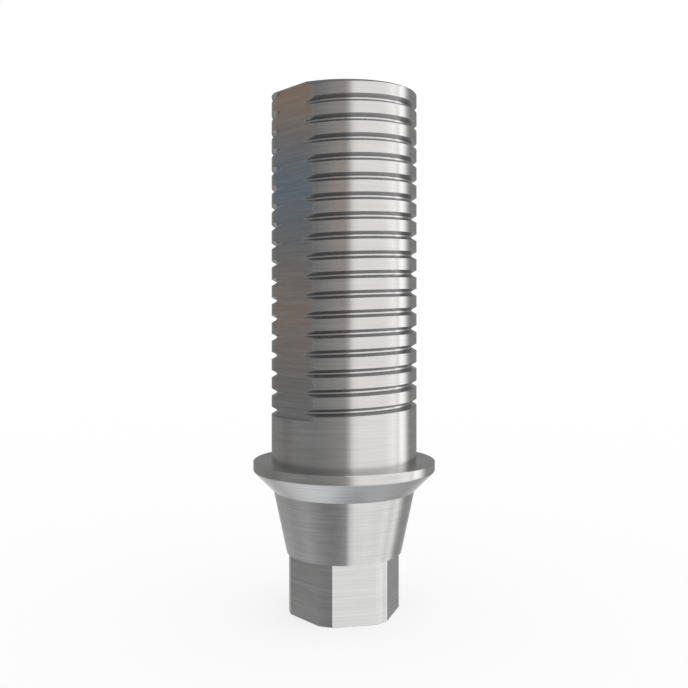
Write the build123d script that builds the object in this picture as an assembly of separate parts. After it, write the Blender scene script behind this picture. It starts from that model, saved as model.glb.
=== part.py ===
from build123d import *
import os
from math import cos, radians, tan

# A dental abutment: one bar of titanium, turned on a lathe and then milled.
# Units are mm. The origin is the middle of the hexagon's end face and +Z runs up the post.
# Angles are measured round Z from the front (-Y), positive towards the right (+X).

# Driving dimensions of the outside
POST_D = 3.60            # plain diameter of the post
POST_H = 9.00            # from the flange's top face to the top end
GROOVE_PITCH = 0.45      # rise of the groove in one turn
GROOVE_DEPTH = 0.125
GROOVE_WIDTH = 0.18      # across its mouth
GROOVE_ANGLE = 60.0      # between its two sides
GROOVE_TURNS = 17.5      # from its start on the back to where it runs out of the top end
FLAT_DEPTH = 0.18        # taken off the post's radius by the milled flat
FLAT_ANGLE = -49.2       # the way the flat faces
FLAT_START = 1.14        # height of the flat's ledge over the flange
FLANGE_D = 4.50
RIM_H = 0.225            # the flange's cylindrical edge
UNDERSIDE_H = 0.50       # the 45 degree slope below that edge
CONE_H = 1.52
CONE_ANGLE = 12.0        # lean of the cone's side
HEX_FLATS = 2.53         # across flats
HEX_ROUND_D = 2.74       # cylinder that rounds the hexagon's corners
HEX_H = 1.47
HEX_ANGLE = 11.0         # the way one face of the hexagon faces

# The way through for the screw, as usual in a screw-held abutment of this size
CHANNEL_D = 2.40         # clears the screw's head
HOLE_D = 2.05            # clears the screw's thread
SEAT_Z = 2.70            # where the seat for the head meets the smaller hole
MOUTH_BREAK = 0.08       # broken edge at both mouths of the screw's way

# Worked out from the dimensions above
POST_R = POST_D / 2
CONE_Z = HEX_H
UNDERSIDE_Z = CONE_Z + CONE_H
RIM_Z = UNDERSIDE_Z + UNDERSIDE_H
FLANGE_Z = RIM_Z + RIM_H
TOP_Z = FLANGE_Z + POST_H
FLANGE_R = FLANGE_D / 2
CONE_TOP_R = FLANGE_R - UNDERSIDE_H
CONE_END_R = CONE_TOP_R - CONE_H * tan(radians(CONE_ANGLE))
SEAT_H = (CHANNEL_D - HOLE_D) / 2
OVER = 1.0               # how far a cutter reaches past the metal


def facing(angle):
    """Turn about Z that takes +X to the way this angle faces."""
    return Rot(0, 0, angle - 90)


def turned(profile):
    """Solid of revolution of (radius, height) points about Z."""
    face = make_face(Polyline([(r, 0, z) for r, z in profile], close=True))
    return revolve(face, axis=Axis.Z)


def outside():
    """Post, flange and cone as they leave the lathe, with a blank below for the hexagon."""
    return turned([
        (0, 0),
        (HEX_ROUND_D / 2, 0),
        (HEX_ROUND_D / 2, CONE_Z),
        (CONE_END_R, CONE_Z),
        (CONE_TOP_R, UNDERSIDE_Z),
        (FLANGE_R, RIM_Z),
        (FLANGE_R, FLANGE_Z),
        (POST_R, FLANGE_Z),
        (POST_R, TOP_Z),
        (0, TOP_Z),
    ])


def hexagon_cutter():
    """All that is milled away round the hexagon, from its end up to the cone."""
    reach = Pos(0, 0, HEX_H / 2 - OVER / 2) * Cylinder(HEX_ROUND_D, HEX_H + OVER)
    to_corner = 180 / 6  # degrees from the middle of a face to its corner
    corner_r = HEX_FLATS / 2 / cos(radians(to_corner))
    hexagon = facing(HEX_ANGLE + to_corner) * RegularPolygon(corner_r, 6)
    core = Pos(0, 0, -OVER) * extrude(hexagon, HEX_H + OVER)
    return reach - core


def groove_cutter():
    """V-shaped tool path of the retention groove, swept up a right-handed helix."""
    run_out = 0.3        # turns past the top end, so that the tool leaves the metal
    height = (GROOVE_TURNS + run_out) * GROOVE_PITCH
    start_angle = -360 * GROOVE_TURNS
    start_z = TOP_Z - GROOVE_TURNS * GROOVE_PITCH
    path = Pos(0, 0, start_z) * facing(start_angle) * Helix(GROOVE_PITCH, height, POST_R)
    lean = tan(radians(GROOVE_ANGLE / 2))
    root = GROOVE_WIDTH / 2 - GROOVE_DEPTH * lean
    past = 0.06          # the tool's mouth stands this far off the post
    mouth = GROOVE_WIDTH / 2 + past * lean
    start = path @ 0
    outward = Vector(start.X, start.Y, 0).normalized()
    plane = Plane(origin=start, x_dir=outward, z_dir=path % 0)
    outline = Polyline(
        [(-GROOVE_DEPTH, -root), (past, -mouth), (past, mouth), (-GROOVE_DEPTH, root)],
        close=True)
    return sweep(plane * make_face(outline), path=path, is_frenet=True)


def flat_cutter():
    """Slab removed by the mill on one side of the post; its lower face leaves the ledge."""
    length = POST_H - FLAT_START + OVER
    slab = Box(OVER, FLANGE_D, length, align=(Align.MIN, Align.CENTER, Align.MIN))
    return facing(FLAT_ANGLE) * Pos(POST_R - FLAT_DEPTH, 0, FLANGE_Z + FLAT_START) * slab


def screw_way():
    """Channel, conical seat and smaller hole for the screw, open at both ends."""
    channel_r, hole_r = CHANNEL_D / 2, HOLE_D / 2
    return turned([
        (0, -OVER),
        (hole_r + MOUTH_BREAK + OVER, -OVER),
        (hole_r, MOUTH_BREAK),
        (hole_r, SEAT_Z),
        (channel_r, SEAT_Z + SEAT_H),
        (channel_r, TOP_Z - MOUTH_BREAK),
        (channel_r + MOUTH_BREAK + OVER, TOP_Z + OVER),
        (0, TOP_Z + OVER),
    ])


def abutment():
    """The finished piece: turned, grooved, milled and drilled."""
    body = outside() - hexagon_cutter()
    body = body - groove_cutter()
    body = body - flat_cutter()
    body = body - screw_way()
    return body


part = abutment()
solid = part.solids()[0]
solid.label = "abutment"
print("solids", len(part.solids()), "volume mm3", round(solid.volume, 3))
print("bounds", solid.bounding_box().min, solid.bounding_box().max)
os.makedirs("parts", exist_ok=True)
export_step(solid, "parts/abutment.step")
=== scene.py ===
# %% [markdown]
# A grooved abutment in Blender
#
# An abutment is the small metal post that carries a false tooth. A screw through its
# middle holds it on an implant in the jaw, the hexagon at its end keeps it from turning,
# and the groove wound round it gives the cement a grip.
#
# The real piece is cut from one bar of titanium, so there is one shape to build here. Its
# measurements come from the CAD solid, which the first cell loads. The solid is true in
# size but has no finish: no turning marks, no broken edges. The lesson builds one closed
# surface over it, finishes that like turned and milled metal, and sets up a small studio.

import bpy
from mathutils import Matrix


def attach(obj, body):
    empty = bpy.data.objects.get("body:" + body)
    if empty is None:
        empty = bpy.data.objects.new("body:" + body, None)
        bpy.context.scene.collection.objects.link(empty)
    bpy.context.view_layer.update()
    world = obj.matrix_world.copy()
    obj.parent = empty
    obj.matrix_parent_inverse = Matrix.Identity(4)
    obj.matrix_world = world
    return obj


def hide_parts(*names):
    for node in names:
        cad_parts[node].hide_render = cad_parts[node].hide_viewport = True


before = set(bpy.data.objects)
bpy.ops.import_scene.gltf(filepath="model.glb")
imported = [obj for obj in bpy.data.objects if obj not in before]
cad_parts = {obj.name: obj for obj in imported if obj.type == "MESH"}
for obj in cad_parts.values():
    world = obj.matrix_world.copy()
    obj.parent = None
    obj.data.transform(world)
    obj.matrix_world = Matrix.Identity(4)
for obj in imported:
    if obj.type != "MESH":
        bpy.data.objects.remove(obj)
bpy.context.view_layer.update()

import math

import bmesh
import bpy
import numpy as np

# %% [markdown]
# Measurements
#
# All lengths below are in millimetres, as a workshop drawing gives them, and they turn
# into Blender's metres once, at the end. Angles run round the post in degrees, 0 at the
# front and growing to the right. Turns of the groove are counted from the top end down:
# the first runs out through the top end, and the last starts low on the back.

# %% Measurements of the real piece
POST_R, TOP_Z = 1.80, 12.715
PITCH, GROOVE_DEPTH, GROOVE_HALF = 0.45, 0.125, 0.09
LEAN = math.tan(math.radians(30))  # of each side of the groove's V
ROOT_HALF = GROOVE_HALF - GROOVE_DEPTH * LEAN
FIRST_TURN, LAST_TURN = -1, 17
FLAT_R, FLAT_ANGLE, LEDGE_Z = 1.62, -49.2, 4.855
FLANGE_R, FLANGE_Z, RIM_Z = 2.25, 3.715, 3.49
CONE_TOP_R, CONE_TOP_Z, CONE_END_R, CONE_Z = 1.75, 2.99, 1.4269, 1.47
HEX_HALF, HEX_CORNER_R, HEX_ANGLE = 1.265, 1.37, 11.0
HOLE_R, CHANNEL_R, SEAT_Z, MOUTH = 1.025, 1.20, 2.70, 0.08
EDGE = 0.012  # how far a sharp edge is broken
MM, PER_METRE = 0.001, 1000
flat_half = math.degrees(math.acos(FLAT_R / POST_R))
print("half angle of the flat:", round(flat_half, 2))
print("half width of the groove's root:", round(ROOT_HALF, 4))

# %% [markdown]
# The radius of the post
#
# A thread can be made by sweeping a cutter and subtracting it, but a boolean leaves
# ragged shading. A post with a groove is simpler as a function: for each angle and height
# it has one radius. That radius is the smallest of three, the cylinder, the milled plane
# and the groove, because each tool takes metal away and none puts any back.

# %% Radius of the land between the grooves
def land_radius(angle):
    """The cylinder's radius, or the distance of the flat's plane over the cosine of the
    angle from the flat's middle, whichever is less, with a rounded minimum that breaks
    the edge between them by about a hundredth of a millimetre. Where the plane is seen at
    a cosine under 0.3 it is far outside the post, and any large radius will do."""
    least_cosine, outside, rounding = 0.3, 9.0, 0.02
    away = np.radians(np.abs(angle - FLAT_ANGLE))
    facing = np.cos(np.minimum(away, 2 * np.pi - away))
    plane = FLAT_R / np.maximum(facing, least_cosine)
    plane = np.where(facing > least_cosine, plane, outside)
    return (POST_R + plane - np.sqrt((POST_R - plane) ** 2 + rounding ** 2)) / 2


# %% Radius at the bottom of the groove
def root_radius(turn, angle):
    """The post's radius less the groove's depth. The tool feeds in over the last twelfth
    of a turn before the groove's lower end, on the back, so there the depth falls to
    nil."""
    feed_end, feed_span = 150, 30
    fed_in = np.clip((angle - feed_end) / feed_span, 0, 1)
    return POST_R - GROOVE_DEPTH * np.where(turn == LAST_TURN, fed_in, 1.0)


# %% Radius of the post at any angle and height
def post_radius(angle, z):
    """The groove's middle climbs one pitch for each turn, so the height below the top end
    over the pitch, plus the angle over 360, counts turns. The distance from the nearest
    whole turn, less half the root's width, over the tangent of 30 degrees, is how far
    the side of the V stands above its root."""
    turn = (TOP_Z - z) / PITCH - 1 + angle / 360
    nearest = np.clip(np.round(turn), FIRST_TURN, LAST_TURN)
    off = np.abs(turn - nearest) * PITCH
    side = root_radius(nearest, angle) + np.maximum(off - ROOT_HALF, 0) / LEAN
    return np.minimum(side, land_radius(angle))


print("land at the front and in the middle of the flat:",
      land_radius(np.array([0.0, FLAT_ANGLE])).round(3))

# %% [markdown]
# Where the columns of the mesh stand
#
# A grid of points looks crisp only where its lines follow the edges of the piece. So the
# columns crowd together at the two edges of the flat and at the hexagon's corners, and
# stand further apart on plain curves, where smooth shading hides the steps.

# %% Angles of the columns
def column_angles():
    """Steps of 1.5 degrees all round, half a degree over the flat, a fifth of a degree at
    its two edges, and a column at both ends of each rounded corner of the hexagon. Where
    two columns come closer than six hundredths of a degree, one goes, but never one of
    the hexagon's."""
    step, flat_step, edge_step, edge_reach, too_close = 1.5, 0.5, 0.2, 1.8, 0.06
    edges = [FLAT_ANGLE - flat_half, FLAT_ANGLE + flat_half]
    plain = np.arange(-180, 180 + step / 2, step)
    over_flat = np.arange(edges[0], edges[1], flat_step)
    near_edge = np.arange(-edge_reach, edge_reach + edge_step / 2, edge_step)
    at_edges = np.concatenate([edge + near_edge for edge in edges])
    corner_half = 30 - math.degrees(math.acos(HEX_HALF / HEX_CORNER_R))
    corners = HEX_ANGLE + 30 + 60 * np.arange(6)
    ends = np.concatenate([corners - corner_half, corners + corner_half])
    ends = (ends + 180) % 360 - 180
    angles = np.unique(np.concatenate([plain, over_flat, at_edges, ends]).round(4))
    close = np.diff(angles, prepend=-999) < too_close
    return angles[~close | np.isin(angles, ends.round(4))]


angles = column_angles()
print(len(angles), "columns")

# %% [markdown]
# Where the rows stand
#
# Straight level rows would cut across the helix and leave a staircase along the groove.
# Here each row climbs with the groove instead: one on each lip, one on each side of the
# root, and one on the land between two turns. On the flat the groove runs out, so there
# the lips close in on each other until they meet.

# %% Rows of one turn
def turn_rows(angle, turn):
    """Five heights from the groove's middle: up to the lip, up to the root's edge, the
    same two down, and the middle of the land below. A lip is half the root's width plus
    the depth below the land times the tangent of 30 degrees from the middle, or nil where
    the land lies below the root."""
    depth = land_radius(angle) - root_radius(turn, angle)
    half = np.where(depth > 0, ROOT_HALF + depth * LEAN, 0)
    inner = np.minimum(ROOT_HALF, half)
    middle = TOP_Z - PITCH * (turn + 1) + PITCH * angle / 360
    land = np.full_like(half, -PITCH / 2)
    return middle + np.stack([half, inner, -inner, -half, land])


# %% Rows of the whole post
def post_rows(angle):
    """One level row under the top end's broken edge, the rows of all turns, and the
    ledge. All are held between the first and the last. Behind the flat that lower limit
    dips, so that it passes below the start of the groove."""
    dip, dip_from, dip_span = 0.3, 80, 100
    low = LEDGE_Z - dip * np.clip((np.abs(angle) - dip_from) / dip_span, 0, 1)
    top = np.full_like(angle, TOP_Z - EDGE)
    turns = [turn_rows(angle, turn) for turn in range(FIRST_TURN, LAST_TURN + 1)]
    z = np.clip(np.concatenate([top[None], *turns, low[None]]), low, top)
    return z, post_radius(angle, z), low


post_z, post_r, ledge_z = post_rows(angles)
print(len(post_z), "rows on the post")

# %% [markdown]
# From the ledge down, and up again inside
#
# Below the groove the piece is a plain turned profile, the kind a spin or a screw
# modifier makes from a drawn line. The hexagon isn't round, though, so the profile is
# given as pairs of radius and height that may change with the angle. Sharp corners never
# leave a real machine quite sharp, and a broken edge of a hundredth of a millimetre
# catches a thin line of light.

# %% Radius of the hexagon
def hexagon_radius(angle):
    """Half the width across flats over the cosine of the angle from the nearest face's
    middle, but never more than the cylinder that rounds the corners."""
    from_face = (angle - HEX_ANGLE + 30) % 60 - 30
    return np.minimum(HEX_HALF / np.cos(np.radians(from_face)), HEX_CORNER_R)


# %% The profile below the ledge
def lower_profile(angle, low):
    """Pairs of radius and height from the ledge down the outside, across the end face, up
    the screw's way and back to the top end. Each pair may be a number or an array."""
    hexagon = hexagon_radius(angle)
    slope = EDGE * math.sqrt(0.5)
    pairs = [
        (POST_R, low), (POST_R, FLANGE_Z),
        (FLANGE_R - EDGE, FLANGE_Z), (FLANGE_R, FLANGE_Z - EDGE),
        (FLANGE_R, RIM_Z + EDGE), (FLANGE_R - slope, RIM_Z - slope),
        (CONE_TOP_R, CONE_TOP_Z), (CONE_END_R, CONE_Z),
        (hexagon, CONE_Z), (hexagon, EDGE), (hexagon - EDGE, 0),
        (HOLE_R + MOUTH, 0), (HOLE_R, MOUTH), (HOLE_R, SEAT_Z),
        (CHANNEL_R, SEAT_Z + CHANNEL_R - HOLE_R), (CHANNEL_R, TOP_Z - MOUTH),
        (CHANNEL_R + MOUTH, TOP_Z), (post_r[0] - EDGE, TOP_Z),
    ]
    flat = np.zeros_like(angle)
    return np.stack([z + flat for r, z in pairs]), np.stack([r + flat for r, z in pairs])


lower_z, lower_r = lower_profile(angles, ledge_z)
grid_z = np.concatenate([post_z, lower_z])
grid_r = np.concatenate([post_r, lower_r])
print("grid of", grid_z.shape, "points")

# %% [markdown]
# From grid to closed mesh
#
# The grid closes on itself twice, once round the axis and once from the top end down the
# outside and up through the bore, like the skin of a ring. The first and last column lie
# on the same line at the back, one turn apart, and some rows fall together where the
# groove runs out. Merging by distance sews all of that shut.

# %% Which finish each face has
TURNED, GROOVE_SIDE, MILLED_FLAT, MILLED_HEX, FACED, DRILLED, COARSE = range(7)
ledge_row = len(post_z)  # the rows of faces below are counted from here, as the pairs are
COARSE_ROWS = [ledge_row + row for row in (2, 3, 4, 5, 6)]
HEX_ROW = ledge_row + 8
FACED_ROWS = [ledge_row + row for row in (1, 7, 10, 16)]
DRILLED_ROWS = [ledge_row + row for row in (12, 13, 14)]


def face_finish():
    """A face belongs to the groove's sides between a lip row and a root row, the first
    and third of each five after the top row. It belongs to the flat where its middle lies
    on the flat's plane, to the hexagon between the hexagon's two rows, to the faced ends
    between two rows at one height, and to the drill inside. The rest was turned, from
    the flange's rim down to the cone with a coarser feed."""
    rows_per_turn, plane_tolerance = 5, 0.004
    finish = np.full((len(grid_z), len(angles) - 1), TURNED)
    finish[1:ledge_row - 1:rows_per_turn] = GROOVE_SIDE
    finish[3:ledge_row - 1:rows_per_turn] = GROOVE_SIDE
    mid_angle = (angles[1:] + angles[:-1]) / 2
    mean_r = (post_r[:-1, 1:] + post_r[:-1, :-1] + post_r[1:, 1:] + post_r[1:, :-1]) / 4
    on_flat = np.abs(mid_angle - FLAT_ANGLE) < flat_half
    at_plane = mean_r > land_radius(mid_angle) - plane_tolerance
    finish[:ledge_row - 1][at_plane & on_flat] = MILLED_FLAT
    finish[COARSE_ROWS] = COARSE
    finish[HEX_ROW] = MILLED_HEX
    finish[FACED_ROWS] = FACED
    finish[DRILLED_ROWS] = DRILLED
    return finish


# %% Build the mesh
def closed_mesh(name):
    """Points are radius times the sine and minus the cosine of the angle, at the row's
    height. Each face joins two rows and two columns, and the last row joins the first."""
    turn = np.radians(angles)
    points = np.stack([grid_r * np.sin(turn), -grid_r * np.cos(turn), grid_z], axis=-1)
    rows, columns = grid_z.shape
    index = np.arange(rows * columns).reshape(rows, columns)
    below = np.roll(index, -1, axis=0)
    quads = np.stack([index[:, :-1], below[:, :-1], below[:, 1:], index[:, 1:]], axis=-1)
    mesh = bpy.data.meshes.new(name)
    mesh.from_pydata(points.reshape(-1, 3) * MM, [], quads.reshape(-1, 4).tolist())
    mesh.polygons.foreach_set("material_index", face_finish().ravel())
    return mesh


def sew(mesh):
    """Merge points closer than a fifth of a micron, drop what collapsed, and turn all
    faces outwards. Gives the number of open edges and the volume in cubic millimetres."""
    fifth_of_a_micron = 2e-7
    work = bmesh.new()
    work.from_mesh(mesh)
    bmesh.ops.remove_doubles(work, verts=work.verts, dist=fifth_of_a_micron)
    loose = [vert for vert in work.verts if not vert.link_faces]
    bmesh.ops.delete(work, geom=loose, context="VERTS")
    bmesh.ops.recalc_face_normals(work, faces=work.faces)
    open_edges = sum(len(edge.link_faces) != 2 for edge in work.edges)
    work.to_mesh(mesh)
    volume = work.calc_volume() * PER_METRE ** 3
    work.free()
    return open_edges, volume


# %% The body, smooth but for its edges
SHARP_FROM = math.radians(12)  # angle between two faces from which their edge is sharp
body_mesh = closed_mesh("abutment_body")
open_edges, volume = sew(body_mesh)
body_mesh.polygons.foreach_set("use_smooth", np.ones(len(body_mesh.polygons), bool))
body_mesh.set_sharp_from_angle(angle=SHARP_FROM)
body = bpy.data.objects.new("abutment_body", body_mesh)
bpy.context.scene.collection.objects.link(body)
print(len(body_mesh.polygons), "faces,", open_edges, "open edges,",
      round(volume, 3), "mm3")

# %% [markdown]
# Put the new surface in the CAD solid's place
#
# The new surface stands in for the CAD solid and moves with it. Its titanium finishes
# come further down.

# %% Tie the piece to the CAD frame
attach(body, "root")
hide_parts("abutment")

# %% [markdown]
# A metal finish made of marks
#
# Turned titanium isn't a mirror. The tool leaves fine lines round the piece, which blur a
# reflection along the axis and keep it sharp round the axis. The shader calls that
# anisotropy, and a tangent that runs round Z tells it which way the lines go. The lines
# themselves could be an image of scratches, but that would need unwrapping. Noise does it
# without: squeezed across the marks and stretched along them, it turns into strokes.

# %% Helpers for nodes and colours
def srgb(code):
    """Linear colour of a hex code: each channel over 255, then the sRGB curve undone."""
    parts = np.array([int(code[i:i + 2], 16) for i in (0, 2, 4)]) / 255
    linear = np.where(parts <= 0.04045, parts / 12.92, ((parts + 0.055) / 1.055) ** 2.4)
    return (*linear, 1.0)


def add(tree, kind, values=None, **settings):
    """Add a node, set its properties, and fill or link its sockets by name or number."""
    node = tree.nodes.new("ShaderNode" + kind)
    for key, value in settings.items():
        setattr(node, key, value)
    for key, value in (values or {}).items():
        if isinstance(value, bpy.types.NodeSocket):
            tree.links.new(value, node.inputs[key])
        else:
            node.inputs[key].default_value = value
    return node


print("titanium grey:", [round(part, 3) for part in srgb("CCCBCA")])

# %% Marks that run round the axis
def turning_position(tree, along, across):
    """Object position as (x over the stroke length, y over the stroke length, height plus
    radius over the mark spacing), all in millimetres, so that marks follow circles on
    the post and on its flat faces alike."""
    here = add(tree, "TexCoord").outputs["Object"]
    level = add(tree, "VectorMath", {0: here, 1: (1, 1, 0)}, operation="MULTIPLY")
    radius = add(tree, "VectorMath", {0: level.outputs[0]}, operation="LENGTH")
    height = add(tree, "SeparateXYZ", {0: here}).outputs["Z"]
    climb = add(tree, "Math", {0: radius.outputs["Value"], 1: height}, operation="ADD")
    fine = add(tree, "Math", {0: climb.outputs[0], 1: PER_METRE / across},
               operation="MULTIPLY")
    wide = add(tree, "VectorMath", {0: level.outputs[0], 1: (PER_METRE / along,) * 3},
               operation="MULTIPLY")
    up = add(tree, "CombineXYZ", {"Z": fine.outputs[0]})
    return add(tree, "VectorMath", {0: wide.outputs[0], 1: up.outputs[0]},
               operation="ADD").outputs[0]


# %% Marks that lie level on any upright face
def level_position(tree, along, across):
    """Object position with the level parts over the stroke length and the height over the
    mark spacing, in millimetres, so that marks stay level whichever way a face looks."""
    here = add(tree, "TexCoord").outputs["Object"]
    scale = (PER_METRE / along, PER_METRE / along, PER_METRE / across)
    return add(tree, "VectorMath", {0: here, 1: scale}, operation="MULTIPLY").outputs[0]


# %% Metal from a mark pattern
NOISE_LOW, TORN_FROM, NOISE_HIGH = 0.3, 0.4, 0.7  # torn strokes begin at the second
STRETCH, QUARTER_TURN = 0.87, 0.25  # how far a highlight spreads, turned across the marks


def machined_metal(name, colour, position, along, across, depth, rough,
                   contrast=0.06, scatter=0.02):
    """Noise at the mark position gives lighter and darker strokes, a surface rougher or
    smoother by a tenth, and a bump of about a micron or less. Torn metal in a stroke
    throws a little light every way, which a metallic value just under 1 stands for."""
    material = bpy.data.materials.new(name)
    material.use_nodes = True
    tree = material.node_tree
    tree.nodes.clear()
    marks = add(tree, "TexNoise", {"Vector": position(tree, along, across), "Scale": 1.0,
                                   "Detail": 3.0, "Roughness": 0.75},
                noise_dimensions="3D")
    level = add(tree, "MapRange", {"Value": marks.outputs["Fac"], 1: NOISE_LOW,
                                   2: NOISE_HIGH, 3: 1 - contrast, 4: 1 + contrast})
    shade = add(tree, "VectorMath", {0: srgb(colour)[:3], 1: level.outputs[0]},
                operation="MULTIPLY")
    gloss = add(tree, "MapRange", {"Value": marks.outputs["Fac"], 1: NOISE_LOW,
                                   2: NOISE_HIGH, 3: rough * 0.9, 4: rough * 1.1})
    torn = add(tree, "MapRange", {"Value": marks.outputs["Fac"], 1: TORN_FROM,
                                  2: NOISE_HIGH, 3: 1.0, 4: 1 - 2 * scatter})
    bump = add(tree, "Bump", {"Height": marks.outputs["Fac"], "Strength": 1.0,
                              "Distance": depth * MM})
    around = add(tree, "Tangent", direction_type="RADIAL", axis="Z")
    metal = add(tree, "BsdfPrincipled", {
        "Base Color": shade.outputs[0], "Metallic": torn.outputs[0],
        "Roughness": gloss.outputs[0], "Normal": bump.outputs[0],
        "Anisotropic": STRETCH, "Anisotropic Rotation": QUARTER_TURN,
        "Tangent": around.outputs[0]})
    add(tree, "OutputMaterial", {"Surface": metal.outputs[0]})
    return material


# %% [markdown]
# Seven finishes on one bar
#
# The lathe leaves lines round the axis, coarser from the flange's rim down to the cone,
# and they draw each highlight out into an upright band. The pointed tool that cuts the
# groove rubs its sides, so they are duller. Their grey is also darker than the lands',
# which is painted shade for the inside of the V. The flat and the hexagon's faces are
# milled along their width, so their strokes lie level. Flat rings and ends are faced, a
# bit coarser, and the drill leaves the screw's way dull. Real marks are a few microns
# wide, too fine to show here, so all of them are drawn some ten times as coarse. For each
# finish below, along is the length of a stroke, across the distance between two, and
# depth the height of the bump, all in millimetres.

# %% The seven finishes
turned = machined_metal(
    "titanium turned on a lathe", "CCCBCA", turning_position,
    along=1.4, across=0.045, depth=0.0004, rough=0.17)
# the groove's sides: the darker grey B3B2B2 is painted shade in the V, the higher
# roughness is the tool's duller finish
groove_side_dull_and_painted_shade = machined_metal(
    "titanium torn by the groove tool, darkened as painted shade", "B3B2B2", turning_position,
    along=0.9, across=0.03, depth=0.0008, rough=0.22)
milled_flat = machined_metal(
    "titanium milled flat", "C9C9C9", level_position,
    along=1.6, across=0.055, depth=0.0003, rough=0.11, contrast=0.055, scatter=0.014)
milled_hexagon = machined_metal(
    "titanium milled hexagon", "CCCCCB", level_position,
    along=1.8, across=0.055, depth=0.0004, rough=0.17, contrast=0.08)
faced = machined_metal(
    "titanium faced across the end", "BEBDBC", turning_position,
    along=1.0, across=0.04, depth=0.0008, rough=0.24)
drilled = machined_metal(
    "titanium drilled", "C6C5C4", turning_position,
    along=0.8, across=0.06, depth=0.0012, rough=0.42)
turned_coarse = machined_metal(
    "titanium turned with a coarser feed", "CCCBCA", turning_position,
    along=1.4, across=0.05, depth=0.0004, rough=0.17, contrast=0.085)
for finish in (turned, groove_side_dull_and_painted_shade, milled_flat, milled_hexagon, faced, drilled,
               turned_coarse):  # in the order of the finish numbers above
    body_mesh.materials.append(finish)
print([finish.name for finish in body_mesh.materials])

# %% [markdown]
# The floor
#
# The piece stands on a pale sheet, a wide round disc. To a ray that comes from the
# camera, seven tenths of the paper under the piece are plain white, which lightens the
# piece's soft shadow as light from below would. A hand's breadth away the paper is all
# white, so that it meets the white behind it and no line shows.

# %% A pale sheet
def sheet_mesh(reach=1.5):
    """Rings round Z whose radii grow by a constant factor, all at height nil."""
    r = np.geomspace(0.001, reach, 24)
    turn = np.radians(np.arange(0, 360, 5))
    points = np.stack([np.outer(r, np.cos(turn)), np.outer(r, np.sin(turn)),
                       np.zeros((len(r), len(turn)))], axis=-1)
    index = np.arange(len(r) * len(turn)).reshape(len(r), len(turn))
    beside = np.roll(index, -1, axis=1)
    quads = np.stack([index[:-1], index[1:], beside[1:], beside[:-1]], axis=-1)
    mesh = bpy.data.meshes.new("floor")
    mesh.from_pydata(points.reshape(-1, 3), [],
                     quads.reshape(-1, 4).tolist() + [index[0].tolist()])
    return mesh


floor = bpy.data.objects.new("floor", sheet_mesh())
bpy.context.scene.collection.objects.link(floor)
print("floor:", len(floor.data.polygons), "faces")

# %% White paper that keeps the shadow
WHITE_AT_PIECE, NEAR, FAR = 0.7, 0.01, 0.08  # a share, and metres from the middle
paper = bpy.data.materials.new("white paper")
paper.use_nodes = True
tree = paper.node_tree
sheet = tree.nodes["Principled BSDF"]
sheet.inputs["Base Color"].default_value = srgb("FCFCFC")
sheet.inputs["Roughness"].default_value = 1.0
sheet.inputs["Specular IOR Level"].default_value = 0.0
path = add(tree, "LightPath").outputs
seen = add(tree, "Math", {0: path["Is Camera Ray"], 1: path["Is Glossy Ray"]},
           operation="ADD")
seen = add(tree, "Math", {0: seen.outputs[0], 1: path["Is Transmission Ray"]},
           operation="ADD")
away = add(tree, "VectorMath", {0: add(tree, "TexCoord").outputs["Object"]},
           operation="LENGTH")
white_share = add(tree, "MapRange", {"Value": away.outputs["Value"], 1: NEAR, 2: FAR,
                                     3: WHITE_AT_PIECE, 4: 1.0})
share = add(tree, "Math", {0: seen.outputs[0], 1: white_share.outputs[0]},
            operation="MULTIPLY", use_clamp=True)
white = add(tree, "Emission", {"Strength": 1.0})
pale = add(tree, "MixShader", {0: share.outputs[0], 1: sheet.outputs[0],
                               2: white.outputs[0]})
tree.links.new(pale.outputs[0], tree.nodes["Material Output"].inputs["Surface"])
paper.cycles.emission_sampling = "NONE"
floor.data.materials.append(paper)
print("white share under the piece:", WHITE_AT_PIECE)

# %% [markdown]
# The light
#
# Bare metal shows little but what stands round it. A photographer puts it in a tent with
# a large white window to the right and grey cards elsewhere, which gives the post one
# bright side and one dark side. Lamps could stand for the windows, but a tent whose wall
# is bright or grey by direction is easier to adjust: one short table says how bright it
# is at the level of the piece and one how bright lower down, and a list of soft cards
# adds small lights, darks and tints. The tent is seen only in the metal. The even white
# world lights the floor.

# %% How bright the tent is in each direction
WALL = np.array([  # azimuth and brightness, round the level
    (-180, 0.28), (-164, 0.26), (-150, 0.25), (-120, 0.25), (-101, 0.205), (-80, 0.25),
    (-45, 0.25), (-19, 0.315), (2, 0.38), (7.5, 0.60), (13, 1.00), (21, 1.12),
    (66, 1.14), (84, 1.36), (91, 1.15), (94.5, 1.17), (95.5, 1.54), (105, 1.52),
    (112, 1.00), (118, 0.54), (125, 0.29), (156, 0.255), (168, 0.32), (180, 0.28),
])
LOW = np.array([  # the same, lower down
    (-180, 0.62), (-130, 0.49), (-100, 0.37), (-70, 0.41), (-30, 0.235), (-13, 0.235),
    (3, 0.335), (12, 0.93), (20, 1.11), (44, 1.14), (66, 1.06), (80, 1.17), (92, 0.91),
    (103, 1.18), (112, 0.74), (119, 0.42), (130, 0.35), (150, 0.45), (180, 0.62),
])
GROUND, LEFT_MORE = 0.72, 0.22


def blend(upper, lower, elevation, start, span):
    """The upper brightness down to a start in degrees below the level, the lower one from
    the start plus the span downwards, and a straight mix between the two."""
    return upper + (lower - upper) * np.clip((-elevation - start) / span, 0, 1)


def tent_brightness(azimuth, elevation):
    """The wall's table read at the azimuth, 0 towards the camera and growing to the
    right. From 8 to 26 degrees below the level it blends into the second table, and from
    40 to 60 into the light ground under the piece, a little brighter on the left."""
    wall = np.interp(azimuth, WALL[:, 0], WALL[:, 1])
    low = np.interp(azimuth, LOW[:, 0], LOW[:, 1])
    ground = GROUND - LEFT_MORE * np.sin(np.radians(azimuth))
    value = blend(wall, low, elevation, start=8, span=18)
    return blend(value, ground, elevation, start=40, span=20)


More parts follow.
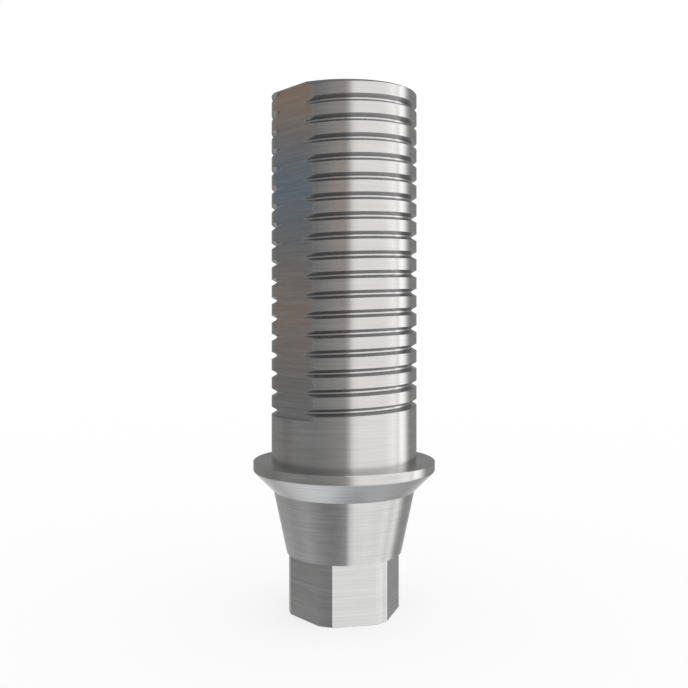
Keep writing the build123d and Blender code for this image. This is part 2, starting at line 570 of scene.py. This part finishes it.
# %% White, grey and coloured cards in the tent
# The back is at both ends of the azimuth, 180 and -180, so its card is given twice.
CARDS = [  # azimuth, its spread, elevation, its spread, tint
    (-101, 20, 18, 2.8, (1.64, 1.16, 0.86)),
    (-101, 20, 11.3, 3.0, (0.75, 0.98, 1.22)),
    (-101, 20, 1.8, 3.0, (1.34, 1.08, 0.92)),
    (-14, 12, 8, 5, (1.13, 1.13, 1.13)),
    (-7, 13, 10, 4.4, (1.28, 0.96, 0.79)),
    (-52, 12, 10.5, 4.5, (0.72, 0.75, 0.82)),
    (80, 16, 13, 7, (1.07, 1.07, 1.07)),
    (115, 6, 18, 4, (0.72, 0.72, 0.72)),
    (135, 20, -9, 6, (1.15, 1.15, 1.15)),
    (-103, 26, -43, 8, (1.84, 1.84, 1.84)),
    (8, 6, 13, 7, (0.90, 0.90, 0.90)),
    (180, 16, -18, 10, (2.00, 2.00, 2.00)),
    (-180, 16, -18, 10, (2.00, 2.00, 2.00)),
    (0, 400, -80, 30, (0.96, 1.00, 1.045)),
]


def tent_colour(azimuth, elevation):
    """White, multiplied by each card's tint with a weight that falls off from the card's
    middle like a bell curve in azimuth and in elevation."""
    tint = np.ones(np.broadcast(azimuth, elevation).shape + (3,))
    for across, width, up, height, card in CARDS:
        off = ((azimuth - across) / width) ** 2, ((elevation - up) / height) ** 2
        weight = np.exp(-off[0] - off[1])
        tint = tint * (1 + weight[..., None] * (np.array(card) - 1))
    return tint


# %% The tent
def tent_mesh(radius=0.28):
    """A ball on a grid of azimuth and elevation, with rows a degree apart near the level
    and two degrees apart elsewhere. Its points carry their brightness."""
    azimuth = np.radians(np.arange(-180, 180.1, 0.75))
    elevation = np.radians(np.concatenate([np.arange(-88, -20, 2), np.arange(-20, 26, 1),
                                           np.arange(26, 89, 2)]))
    level = np.cos(elevation)[:, None] * radius
    height = np.outer(np.sin(elevation) * radius, np.ones_like(azimuth))
    points = np.stack([level * np.sin(azimuth), -level * np.cos(azimuth), height],
                      axis=-1)
    rows, columns = height.shape
    index = np.arange(rows * columns).reshape(rows, columns)
    quads = np.stack([index[:-1, :-1], index[1:, :-1], index[1:, 1:], index[:-1, 1:]],
                     axis=-1)
    caps = [index[0, :-1].tolist(), index[-1, :-1].tolist()]
    mesh = bpy.data.meshes.new("tent")
    mesh.from_pydata(points.reshape(-1, 3), [], quads.reshape(-1, 4).tolist() + caps)
    where = np.degrees(azimuth)[None, :], np.degrees(elevation)[:, None]
    glow = np.ones((rows, columns, 4))
    glow[..., :3] = tent_brightness(*where)[..., None] * tent_colour(*where)
    shade = mesh.attributes.new("brightness", "FLOAT_COLOR", "POINT")
    shade.data.foreach_set("color", glow.ravel())
    return mesh


tent = bpy.data.objects.new("tent", tent_mesh())
bpy.context.scene.collection.objects.link(tent)
print("tent:", len(tent.data.polygons), "faces")

# %% Cloth that glows, seen only in the metal
cloth = bpy.data.materials.new("tent cloth")
cloth.use_nodes = True
cloth.node_tree.nodes.clear()
cloth.cycles.emission_sampling = "NONE"
shade = add(cloth.node_tree, "Attribute", attribute_name="brightness").outputs["Color"]
glow = add(cloth.node_tree, "Emission", {"Color": shade, "Strength": 1.0})
add(cloth.node_tree, "OutputMaterial", {"Surface": glow.outputs[0]})
tent.data.materials.append(cloth)
for rays in ("visible_camera", "visible_diffuse", "visible_shadow",
             "visible_transmission"):
    setattr(tent, rays, False)
floor.visible_glossy = False  # the tent's own ground stands for it in the metal
print("tent seen in the metal:", tent.visible_glossy)

# %% The even white world
world = bpy.data.worlds.new("white studio")
bpy.context.scene.world = world
world.use_nodes = True
sky = world.node_tree.nodes["Background"]
sky.inputs["Color"].default_value = (1, 1, 1, 1)
sky.inputs["Strength"].default_value = 1.0
bpy.context.scene.view_settings.view_transform = "Standard"
print("world strength:", sky.inputs["Strength"].default_value)

# %% [markdown]
# The camera
#
# The edges of the flange and the hexagon show as arcs, and how flat those arcs are tells
# where the camera stood: close, about 21 mm from the axis and level with the middle of
# the post. It looks straight ahead, and a small shift brings the piece into the frame.

# %% Camera at the photograph's place
PICTURE, FOCAL_LENGTH, SHIFT_X, SHIFT_Y = 688, 830.5, -0.1, -23.5  # in pixels
lens = bpy.data.cameras.new("camera")
camera = bpy.data.objects.new("camera", lens)
bpy.context.scene.collection.objects.link(camera)
camera.location = (0, -0.02070, 0.007173)
camera.rotation_euler = (math.radians(90), 0, 0)
lens.sensor_width = 36.0
lens.lens = 36.0 * FOCAL_LENGTH / PICTURE
lens.shift_x = SHIFT_X / PICTURE
lens.shift_y = SHIFT_Y / PICTURE
lens.clip_start, lens.clip_end = 0.001, 5.0
bpy.context.scene.camera = camera
print("lens:", round(lens.lens, 2), "mm")
